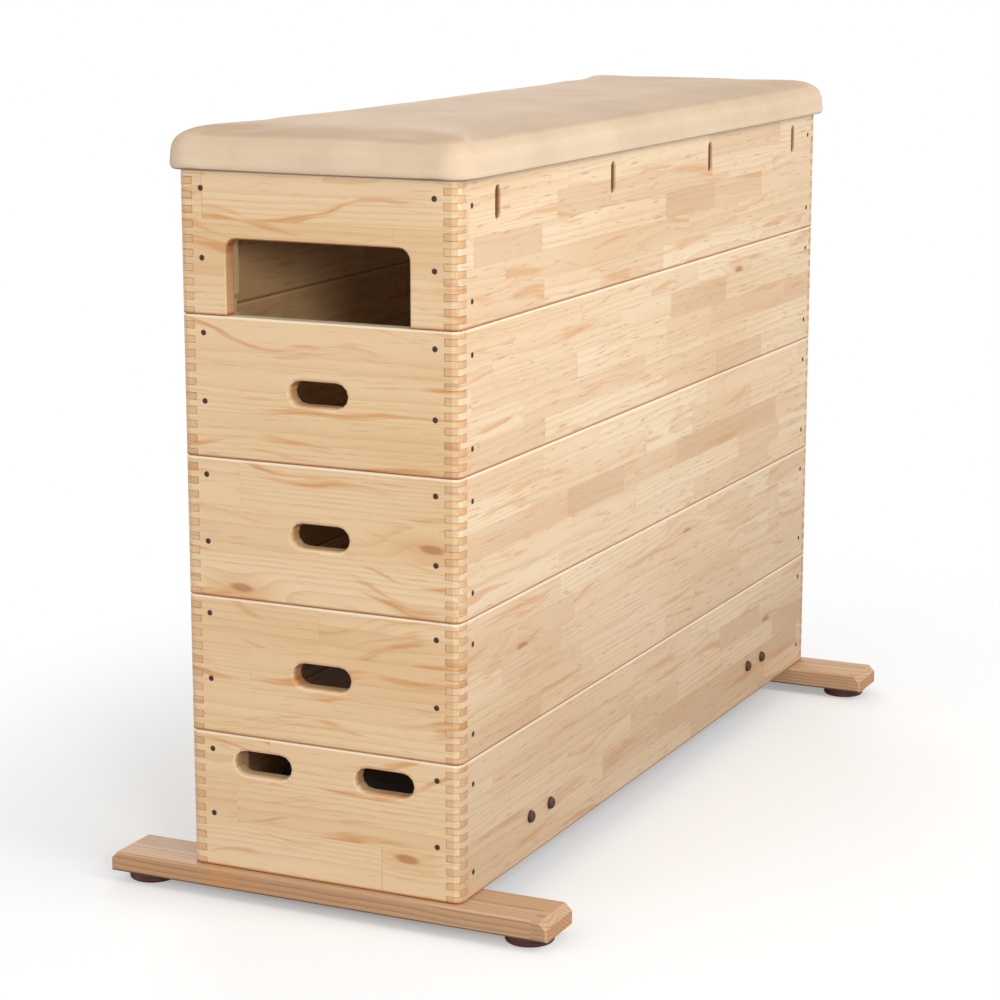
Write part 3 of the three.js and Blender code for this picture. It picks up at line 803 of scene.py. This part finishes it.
def strip_faces(lower: Sequence[int], upper: Sequence[int]) -> list[list[int]]:
    """The faces between two closed loops of point numbers.

    Args:
        lower: The first loop.
        upper: The second loop, with as many points.

    Returns:
        One face for each point of a loop.
    """
    steps = [(step, (step + 1) % len(lower)) for step in range(len(lower))]
    return [[lower[step], lower[following], upper[following], upper[step]] for step, following in steps]


def turned_piece(
    name: str,
    profile: Profile,
    facets: int,
    place: Callable[[float, float, float], Vector],
    materials: Sequence[bpy.types.Material],
    capped: bool = True,
) -> bpy.types.Object:
    """Turns a piece from a profile.

    Args:
        name: The piece's name.
        profile: Radius and height pairs, from the bottom to the top.
        facets: Points in each ring.
        place: Turns a point about +Z into its place in the row frame.
        materials: The piece's material slots, in order.
        capped: True for a flat face over the first and last ring, False where the last ring meets the first.

    Returns:
        The object, linked to the scene.
    """
    angles = [math.tau * step / facets for step in range(facets)]
    points = [
        place(radius * math.cos(angle), radius * math.sin(angle), height)
        for radius, height in profile
        for angle in angles
    ]
    loops = [range(ring * facets, (ring + 1) * facets) for ring in range(len(profile))]
    faces = []
    for lower, upper in zip(loops, loops[1:] if capped else loops[1:] + loops[:1]):
        faces += strip_faces(lower, upper)
    if capped:
        faces += [list(reversed(loops[0])), list(loops[-1])]
    return mesh_piece(name, points, faces, materials)


class FastenerTree:
    """A Geometry Nodes tree that sets a turned head on each point, facing the way that the point says."""

    SIZES = ("Head Radius", "Neck Radius", "Head Depth")

    def __init__(self, name: str, material: bpy.types.Material, steps: Profile, facets: int) -> None:
        """Builds the tree, which makes the head, sets it on the points and gives it its finish.

        Args:
            name: The tree's name.
            material: The head's finish.
            steps: How the head's end face goes on from its rim: how far out, and how much narrower.
            facets: Sides of the head.
        """
        self.tree = bpy.data.node_groups.new(name, "GeometryNodeTree")
        face = self.tree.interface
        face.new_socket("Geometry", in_out="INPUT", socket_type="NodeSocketGeometry")
        for size in self.SIZES:
            face.new_socket(size, in_out="INPUT", socket_type="NodeSocketFloat")
        face.new_socket("Geometry", in_out="OUTPUT", socket_type="NodeSocketGeometry")

        graph = Graph(self.tree)
        given = graph.add("NodeGroupInput", {}, {}).outputs
        head = graph.add("GeometryNodeMeshCone", {"fill_type": "NGON"}, {
            "Vertices": facets, "Side Segments": 1, "Radius Top": given["Head Radius"],
            "Radius Bottom": given["Neck Radius"], "Depth": given["Head Depth"],
        })
        geometry, end_face = head.outputs["Mesh"], head.outputs["Top"]
        for out, share in steps:
            raised = graph.add("GeometryNodeExtrudeMesh", {"mode": "FACES"}, {
                "Mesh": geometry, "Selection": end_face, "Offset Scale": out, "Individual": False,
            })
            scaled = graph.add("GeometryNodeScaleElements", {"domain": "FACE"}, {
                "Geometry": raised.outputs["Mesh"], "Selection": raised.outputs["Top"], "Scale": share,
            })
            geometry, end_face = scaled.outputs["Geometry"], raised.outputs["Top"]
        facing = graph.add("GeometryNodeInputNamedAttribute", {"data_type": "FLOAT_VECTOR"}, {
            "Name": "facing",
        })
        turn = graph.add("FunctionNodeAlignRotationToVector", {"axis": "Z"}, {
            "Vector": facing.outputs["Attribute"],
        })
        set_on = graph.add("GeometryNodeInstanceOnPoints", {}, {
            "Points": given["Geometry"], "Instance": geometry, "Rotation": turn.outputs["Rotation"],
        })
        real = graph.add("GeometryNodeRealizeInstances", {}, {"Geometry": set_on.outputs["Instances"]})
        finished = graph.add("GeometryNodeSetMaterial", {}, {
            "Geometry": real.outputs["Geometry"], "Material": material,
        })
        graph.add("NodeGroupOutput", {}, {"Geometry": finished.outputs["Geometry"]})

    def place(self, name: str, spots: Sequence[Spot], sizes: Sequence[float]) -> bpy.types.Object:
        """Sets a head on each spot and turns the result into a plain mesh.

        Args:
            name: The piece's name.
            spots: Where each head's neck end is, and the way it faces.
            sizes: The tree's sizes, in the order of SIZES.

        Returns:
            The finished piece.
        """
        points = mesh_piece(name + "_points", [spot for spot, _ in spots], [], [])
        facing = points.data.attributes.new("facing", "FLOAT_VECTOR", "POINT")
        facing.data.foreach_set("vector", [part for _, way in spots for part in way])
        modifier = points.modifiers.new("heads", "NODES")
        modifier.node_group = self.tree
        wanted = dict(zip(self.SIZES, sizes))
        for item in self.tree.interface.items_tree:
            if item.name in wanted:
                modifier[item.identifier] = wanted[item.name]
        mesh = plain_mesh(points)
        bpy.data.objects.remove(points)
        mesh.name = name
        piece = add_object(name, mesh)
        shade_smooth(piece, 32.0)
        return piece


@dataclass
class WoodenSections:
    """The five wooden frames: their boards and posts keep their shapes, and gain their screws."""

    finishes: Finishes
    end_inset: float = 0.036
    end_drops: tuple[float, ...] = (0.025, 0.121)
    side_inset: float = 0.040
    side_drops: tuple[float, ...] = (0.036, 0.164)
    section_height: float = 0.200
    seat_depth: float = 0.002
    head_radius: float = 0.0041
    neck_radius: float = 0.0023
    head_depth: float = 0.0013
    recess_steps: tuple[tuple[float, float], ...] = ((0.00025, 0.90), (0.0, 0.56), (-0.0011, 0.92))
    facets: int = 16

    def _spots(self, section: str) -> list[Spot]:
        """Where the screws of one section sit.

        Args:
            section: The section's name.

        Returns:
            Each screw's place and the way that it faces.
        """
        low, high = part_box(f"{section}_end_board_front")
        top = low.z + self.section_height
        seat = self.seat_depth - self.head_depth / 2
        end_x, end_y = high.x - self.end_inset, -low.y - seat
        side_x, side_y = high.x - seat, -low.y - self.side_inset
        spots = []
        for end, side in CORNERS:
            for drop in self.end_drops:
                spots.append((Vector((side * end_x, end * end_y, top - drop)), Vector((0, end, 0))))
            for drop in self.side_drops:
                spots.append((Vector((side * side_x, end * side_y, top - drop)), Vector((side, 0, 0))))
        return spots

    def build(self) -> None:
        """Sets the screws of every section."""
        tree = FastenerTree("countersunk_screws", self.finishes.black, self.recess_steps, self.facets)
        sizes = (self.head_radius, self.neck_radius, self.head_depth)
        for section in SECTIONS:
            piece = tree.place(f"{section}_screws", self._spots(section), sizes)
            attach(piece, SECTION_BODIES.get(section, section))


@dataclass
class PaddedTop:
    """The foam pad under its leather, swollen by a cloth simulation.

    The top is a grid whose outer rings follow the rounded plan. Rings of points go on from its edge over the
    shoulder, down the side, under the skirt and up the wall of the hollow that the plywood board fills.
    """

    finishes: Finishes
    start_inset: float = 0.0035
    board_gap: float = 0.0003
    corner_radius: float = 0.042
    cells_across: int = 43
    cells_along: int = 145
    shoulder: float = 0.034
    crown_drop: float = 0.0026
    crown_reach: float = 0.11
    side_profile: tuple[tuple[float, float], ...] = (
        (0.0250, 0.0524), (0.0170, 0.0500), (0.0100, 0.0457), (0.0048, 0.0398), (0.0016, 0.0328),
        (0.0002, 0.0250), (0.0000, 0.0175), (0.0008, 0.0105), (0.0024, 0.0048), (0.0048, 0.0012),
    )
    underside_inset: float = 0.0075
    pressure: float = 4.0
    tension: float = 40.0
    bending: float = 6.0
    frames: int = 20
    cap: float = 0.0045
    unevenness: float = 0.0006
    unevenness_scale: float = 7.0
    gather: float = 0.0004
    gather_count: float = 26.0
    gather_lean: float = 30.0
    gather_share: float = 0.75
    low: Vector = field(init=False)
    high: Vector = field(init=False)
    hollow_inset: float = field(init=False)
    hollow_rise: float = field(init=False)

    def __post_init__(self) -> None:
        """Measures the space that the construction keeps for the pad and its board."""
        self.low, self.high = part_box("top_pad")
        board_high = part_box("top_plywood_board")[1]
        self.hollow_inset = self.high.x - board_high.x - self.board_gap
        self.hollow_rise = board_high.z - self.low.z + self.board_gap

    def _plan_place(self, inset: float, quarter: int, share: float) -> tuple[float, float]:
        """A point on the pad's plan, drawn in by an inset.

        Args:
            inset: How far the plan is drawn in.
            quarter: The side: 0 front, 1 right, 2 back and 3 left.
            share: How far along that side, from the middle of one corner to the middle of the next.

        Returns:
            The point's x and y.
        """
        reaches = (self.high.x - inset, self.high.y - inset)
        along, out = reaches if quarter % 2 == 0 else reversed(reaches)
        radius = max(self.corner_radius - inset, 0.0)
        straight = 2 * (along - radius)
        half_arc = math.pi * radius / 4
        walked = share * (straight + 2 * half_arc) - half_arc
        on_straight = min(max(walked, 0.0), straight)
        angle = (walked - on_straight) / radius if radius else 0.0
        x = radius - along + on_straight + radius * math.sin(angle)
        y = radius - out - radius * math.cos(angle)
        return ((x, y), (-y, x), (-x, -y), (y, -x))[quarter]

    def _edge_steps(self) -> list[tuple[int, float]]:
        """The side and share of each point once round the plan."""
        counts = (self.cells_across, self.cells_along) * 2
        return [(quarter, step / count) for quarter, count in enumerate(counts) for step in range(count)]

    def _grid_place(self, i: int, j: int, start: float) -> tuple[float, float, float]:
        """A point of a grid that fills the plan.

        Args:
            i: The point's column.
            j: The point's row.
            start: The inset of the grid's edge.

        Returns:
            The point's x and y, and how far in from the grid's edge it lies.
        """
        across, along = self.cells_across, self.cells_along
        ring = min(i, across - i, j, along - j)
        if j == ring:
            quarter, step, count = 0, i - ring, across - 2 * ring
        elif i == across - ring:
            quarter, step, count = 1, j - ring, along - 2 * ring
        elif j == along - ring:
            quarter, step, count = 2, across - ring - i, across - 2 * ring
        else:
            quarter, step, count = 3, along - ring - j, along - 2 * ring
        inward = ring * (self.high.x - start) / (across / 2)
        return (*self._plan_place(start + inward, quarter, step / count), inward)

    def _grid_points(self, start: float, height: float, drop: float) -> list[Vector]:
        """The points of a grid that fills the plan, row by row.

        Args:
            start: The inset of the grid's edge.
            height: The height of the grid's middle.
            drop: How far its edge lies below its middle.

        Returns:
            The points.
        """
        points = []
        for j in range(self.cells_along + 1):
            for i in range(self.cells_across + 1):
                x, y, inward = self._grid_place(i, j, start)
                fall = max(0.0, 1.0 - inward / self.crown_reach) ** 2 * drop
                points.append(Vector((x, y, height - fall)))
        return points

    def _grid_faces(self, first: int) -> list[list[int]]:
        """The faces of a grid whose first point has that number, seen from above."""
        row = self.cells_across + 1
        corners = [first + j * row + i for j in range(self.cells_along) for i in range(self.cells_across)]
        return [[corner, corner + 1, corner + row + 1, corner + row] for corner in corners]

    def _grid_edge(self, first: int) -> list[int]:
        """The numbers of the points once round a grid's edge.

        Args:
            first: The number of the grid's first point.

        Returns:
            The numbers, from the front left corner.
        """
        across, along = self.cells_across, self.cells_along
        row = across + 1
        front = list(range(across))
        right = [j * row + across for j in range(along)]
        back = [along * row + across - i for i in range(across)]
        left = [(along - j) * row for j in range(along)]
        return [first + number for number in front + right + back + left]

    def _rings(self) -> list[tuple[float, float]]:
        """Inset and height pairs from under the shoulder to the wall of the hollow."""
        wall, roof, gap = self.hollow_inset, self.hollow_rise, self.board_gap
        rings = [(self.start_inset + inset, rise) for inset, rise in self.side_profile]
        hem = [(self.start_inset + self.underside_inset, 0.0), (wall - gap, 0.0), (wall, gap)]
        return rings + hem + [(wall, roof / 2), (wall, roof - gap)]

    def _shell(self) -> bpy.types.Object:
        """Makes the pad's starting shape.

        Returns:
            The pad as a closed mesh.
        """
        steps = self._edge_steps()
        crown = self.high.z - self.start_inset
        points = self._grid_points(self.start_inset + self.shoulder, crown, self.crown_drop)
        faces = self._grid_faces(0)
        loops = [self._grid_edge(0)]
        for inset, rise in self._rings():
            loops.append(list(range(len(points), len(points) + len(steps))))
            points += [Vector((*self._plan_place(inset, *step), self.low.z + rise)) for step in steps]
        loops.append(self._grid_edge(len(points)))
        faces += [face[::-1] for face in self._grid_faces(len(points))]
        points += self._grid_points(self.hollow_inset + self.board_gap, self.low.z + self.hollow_rise, 0.0)
        for upper, lower in zip(loops, loops[1:]):
            faces += strip_faces(lower, upper)
        return mesh_piece("leather_pad", points, faces, [self.finishes.suede])

    def _swell(self, piece: bpy.types.Object) -> None:
        """Blows the leather out over the foam, and stops each point at the cap.

        Args:
            piece: The pad in its starting shape.
        """
        on_top = (self.cells_across + 1) * (self.cells_along + 1)
        first_held = on_top + (len(self.side_profile) - 1) * len(self._edge_steps())
        held = piece.vertex_groups.new(name="held")
        held.add(list(range(first_held, len(piece.data.vertices))), 1.0, "REPLACE")
        before = [vertex.co.copy() for vertex in piece.data.vertices]
        cloth = piece.modifiers.new("swell", "CLOTH")
        settings = cloth.settings
        settings.use_pressure = True
        settings.uniform_pressure_force = self.pressure
        settings.effector_weights.gravity = 0.0
        settings.vertex_group_mass = "held"
        settings.tension_stiffness = settings.compression_stiffness = self.tension
        settings.bending_stiffness = self.bending
        cloth.collision_settings.use_collision = False
        scene = bpy.context.scene
        for number in range(1, self.frames + 1):
            scene.frame_set(number)
        piece.data = plain_mesh(piece)
        for vertex, start in zip(piece.data.vertices, before):
            moved = vertex.co - start
            if moved.length > self.cap:
                vertex.co = start + moved.normalized() * self.cap
        scene.frame_set(1)

    def _creased(self, place: Vector, outward: Vector) -> Vector:
        """Where a point of the leather ends up, with the gathers of a corner and a slow unevenness.

        Args:
            place: The point on the smooth pad.
            outward: The surface's normal there.

        Returns:
            The moved point.
        """
        rise = place.z - self.low.z
        past_side = abs(place.x) - self.high.x + self.corner_radius
        past_end = abs(place.y) - self.high.y + self.corner_radius
        move = noise.noise(place * self.unevenness_scale) * self.unevenness
        if past_side > 0 and past_end > 0:
            angle = math.atan2(past_end, past_side)
            reach = self.gather_share * (self.high.z - self.low.z)
            fade = math.sin(2 * angle) * max(0.0, 1.0 - rise / reach)
            move += self.gather * fade * math.sin(angle * self.gather_count + place.z * self.gather_lean)
        return place + outward * move * min(1.0, rise / self.side_profile[-2][1])

    def _crease(self, piece: bpy.types.Object) -> None:
        """Adds the soft gathers of leather drawn round the corners, and a slow unevenness.

        Args:
            piece: The smooth pad.
        """
        mesh = piece.data
        wall_x, wall_y = self.high.x - self.hollow_inset, self.high.y - self.hollow_inset
        roof = self.low.z + self.hollow_rise
        normals = [normal.vector.copy() for normal in mesh.vertex_normals]
        places = []
        for vertex, normal in zip(mesh.vertices, normals):
            place = vertex.co
            in_hollow = abs(place.x) <= wall_x and abs(place.y) <= wall_y and place.z <= roof
            places.append(place if in_hollow else self._creased(place, normal))
        mesh.vertices.foreach_set("co", [part for place in places for part in place])
        mesh.update()

    def build(self) -> None:
        pad = self._shell()
        self._swell(pad)
        finer = pad.modifiers.new("finer", "SUBSURF")
        finer.levels = finer.render_levels = 1
        pad.data = plain_mesh(pad)
        self._crease(pad)
        shade_smooth(pad, 60.0)
        attach(pad, "top", ["top_pad"])


@dataclass(frozen=True)
class BoltPart:
    """A bolt's head or washer: its radius, depth and lift off the board in metres, and its face's steps."""

    name: str
    radius: float
    depth: float
    lift: float
    steps: Profile


@dataclass
class Undercarriage:
    """The feet, the rail bolts and the castor wheels."""

    finishes: Finishes
    facets: int = 56
    hub_rings: int = 4
    bolt_spacing: float = 0.070
    bolt_height: float = 0.106
    rail_middle: float = 0.455
    bolt_facets: int = 24
    bolt_parts: tuple[BoltPart, ...] = (
        BoltPart("rail_bolt_heads", 0.0084, 0.0020, 0.0013, (
            (0.0011, 0.97), (0.0010, 0.90), (0.0006, 0.78), (0.0, 0.52), (-0.0022, 0.9),
        )),
        BoltPart("rail_bolt_washers", 0.0094, 0.0010, 0.0002, ((0.0003, 0.96),)),
    )

    def _feet(self) -> None:
        """Turns the four rubber feet."""
        for node in [f"foot_{end}_{side}" for end in ENDS for side in SIDES]:
            low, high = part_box(node)
            middle = (low + high) / 2
            radius, height = (high.y - low.y) / 2, high.z - low.z
            profile = [
                (radius * 0.62, 0.0009), (radius * 0.66, 0.0), (radius - 0.0040, 0.0),
                (radius - 0.0016, 0.0007), (radius - 0.0003, 0.0026), (radius, 0.0050),
                (radius, 0.0066), (radius - 0.0009, 0.0072), (radius - 0.0009, 0.0082),
                (radius, 0.0088), (radius, height - 0.0014), (radius - 0.0014, height),
                (radius * 0.4, height),
            ]
            foot = turned_piece(
                f"rubber_{node}", profile, self.facets,
                lambda x, y, z: Vector((middle.x + x, middle.y + y, z)), [self.finishes.foot],
            )
            shade_smooth(foot)
            attach(foot, "base", [node])

    def _wheels(self) -> None:
        """Turns the four castor wheels, each a tyre on a hub."""
        for node in [f"wheel_{end}_{letter}" for end in ENDS for letter in "ab"]:
            low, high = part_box(node)
            middle = (low + high) / 2
            half, radius = (high.x - low.x) / 2, (high.z - low.z) / 2
            profile = [
                (0.0044, -half * 0.86), (0.0105, -half * 0.86), (0.0112, -half * 0.66),
                (radius * 0.62, -half * 0.66), (radius * 0.66, -half * 0.96), (radius * 0.72, -half),
                (radius * 0.86, -half), (radius * 0.94, -half * 0.84), (radius * 0.985, -half * 0.5),
                (radius * 0.997, 0.0),
            ]
            profile += [(ring, -depth) for ring, depth in reversed(profile[:-1])]
            wheel = turned_piece(
                f"castor_{node}", profile, self.facets,
                lambda x, y, z: Vector((middle.x + z, middle.y + y, middle.z - x)),
                [self.finishes.tyre, self.finishes.hub], capped=False,
            )
            for index, polygon in enumerate(wheel.data.polygons):
                ring = index // self.facets
                polygon.material_index = int(min(ring, len(profile) - 2 - ring) < self.hub_rings)
            shade_smooth(wheel, 35.0)
            attach(wheel, node, [node])

    def _bolts(self) -> None:
        """Sets the rail bolts' heads and washers on both side boards."""
        half_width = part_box("bottom_side_board_right")[1].x
        spots = []
        for end, side in CORNERS:
            for step in (-0.5, 0.5):
                along = end * self.rail_middle + step * self.bolt_spacing
                spots.append((Vector((side * half_width, along, self.bolt_height)), Vector((side, 0, 0))))
        for part in self.bolt_parts:
            tree = FastenerTree(part.name, self.finishes.black, part.steps, self.bolt_facets)
            raised = [(spot + way * part.lift, way) for spot, way in spots]
            piece = tree.place(part.name, raised, (part.radius, part.radius, part.depth))
            attach(piece, "base")

    def build(self) -> None:
        """Makes the feet, wheels and bolts."""
        self._feet()
        self._wheels()
        self._bolts()


@dataclass(frozen=True)
class Lamp:
    """A square lamp: where it hangs, its side in metres, its power in watts and its colour."""

    name: str
    place: tuple[float, float, float]
    size: float
    power: float
    colour: Colour


@dataclass
class Studio:
    """A pale floor that fades to white, soft lamps and the camera."""

    camera_place: tuple[float, float, float] = (1.80, -3.96, 1.38)
    camera_target: tuple[float, float, float] = (-0.058, -0.013, 0.460)
    lens: float = 99.0
    floor_size: float = 30.0
    sky: tuple[float, float, float, float] = (0.96, 0.98, 1.0, 1.0)
    sky_strength: float = 0.56
    lamps: tuple[Lamp, ...] = (
        Lamp("window_light", (4.6, -0.8, 3.4), 3.0, 160.0, (1.0, 0.985, 0.96)),
        Lamp("door_light", (3.6, -4.6, 2.1), 1.2, 108.0, (1.0, 0.97, 0.93)),
        Lamp("front_light", (-2.6, -4.6, 2.4), 2.6, 54.0, (1.0, 0.97, 0.93)),
        Lamp("back_light", (-3.0, 4.2, 2.6), 2.6, 90.0, (1.0, 1.0, 1.0)),
    )

    def _world(self) -> None:
        """Makes an even pale sky that looks white to the camera and in reflections."""
        world = bpy.data.worlds.new("pale_room")
        bpy.context.scene.world = world
        world.use_nodes = True
        graph = Graph(world.node_tree)
        rays = graph.add("ShaderNodeLightPath", {}, {}).outputs
        seen = graph.add(
            "ShaderNodeMath", {"operation": "MAXIMUM"}, {0: rays["Is Camera Ray"], 1: rays["Is Glossy Ray"]},
        )
        glow = graph.add("ShaderNodeBackground", {}, {"Color": self.sky, "Strength": self.sky_strength})
        white = graph.add("ShaderNodeBackground", {}, {"Color": WHITE, "Strength": 1.0})
        mixed = {0: seen.outputs[0], 1: glow.outputs[0], 2: white.outputs[0]}
        mix = graph.add("ShaderNodeMixShader", {}, mixed)
        graph.add("ShaderNodeOutputWorld", {}, {"Surface": mix.outputs[0]})

    def _floor(self) -> None:
        """Lays the floor."""
        half = self.floor_size / 2
        corners = [(-half, -half, 0), (half, -half, 0), (half, half, 0), (-half, half, 0)]
        mesh_piece("floor", corners, [[0, 1, 2, 3]], [FloorFinish().build()])

    def _aimed(self, name: str, data: bpy.types.ID, place: Sequence[float]) -> bpy.types.Object:
        """Sets up a lamp or a camera that points at the box.

        Args:
            name: Its name.
            data: The lamp or the camera.
            place: Where it stands.

        Returns:
            The object.
        """
        holder = add_object(name, data)
        holder.location = place
        holder.rotation_mode = "QUATERNION"
        holder.rotation_quaternion = (Vector(self.camera_target) - Vector(place)).to_track_quat("-Z", "Y")
        return holder

    def _hang(self, lamp: Lamp) -> None:
        """Hangs a lamp.

        Args:
            lamp: What it is like.
        """
        light = bpy.data.lights.new(lamp.name, "AREA")
        light.size = lamp.size
        light.energy = lamp.power
        light.color = lamp.colour
        self._aimed(lamp.name, light, lamp.place)

    def build(self) -> None:
        """Sets up the stage, the lamps and the camera, which stands where the photograph was taken from."""
        scene = bpy.context.scene
        scene.view_settings.view_transform = "Standard"
        self._world()
        self._floor()
        for lamp in self.lamps:
            self._hang(lamp)
        camera = bpy.data.cameras.new("camera")
        camera.lens = self.lens
        scene.camera = self._aimed("camera", camera, self.camera_place)


def dress_nodes(finishes: Finishes) -> None:
    """Gives every construction node its finish.

    Args:
        finishes: The finishes to choose from.
    """
    for name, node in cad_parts.items():
        material = finishes.dress(name)
        if not node.material_slots:
            node.data.materials.append(material)
        for slot in node.material_slots:
            slot.material = material


def main() -> None:
    """Builds the whole scene."""
    logging.basicConfig(level=logging.INFO, format="%(name)s: %(message)s")
    finishes = Finishes()
    dress_nodes(finishes)
    Studio().build()
    WoodenSections(finishes).build()
    Undercarriage(finishes).build()
    PaddedTop(finishes).build()


if __name__ == "__main__":
    main()
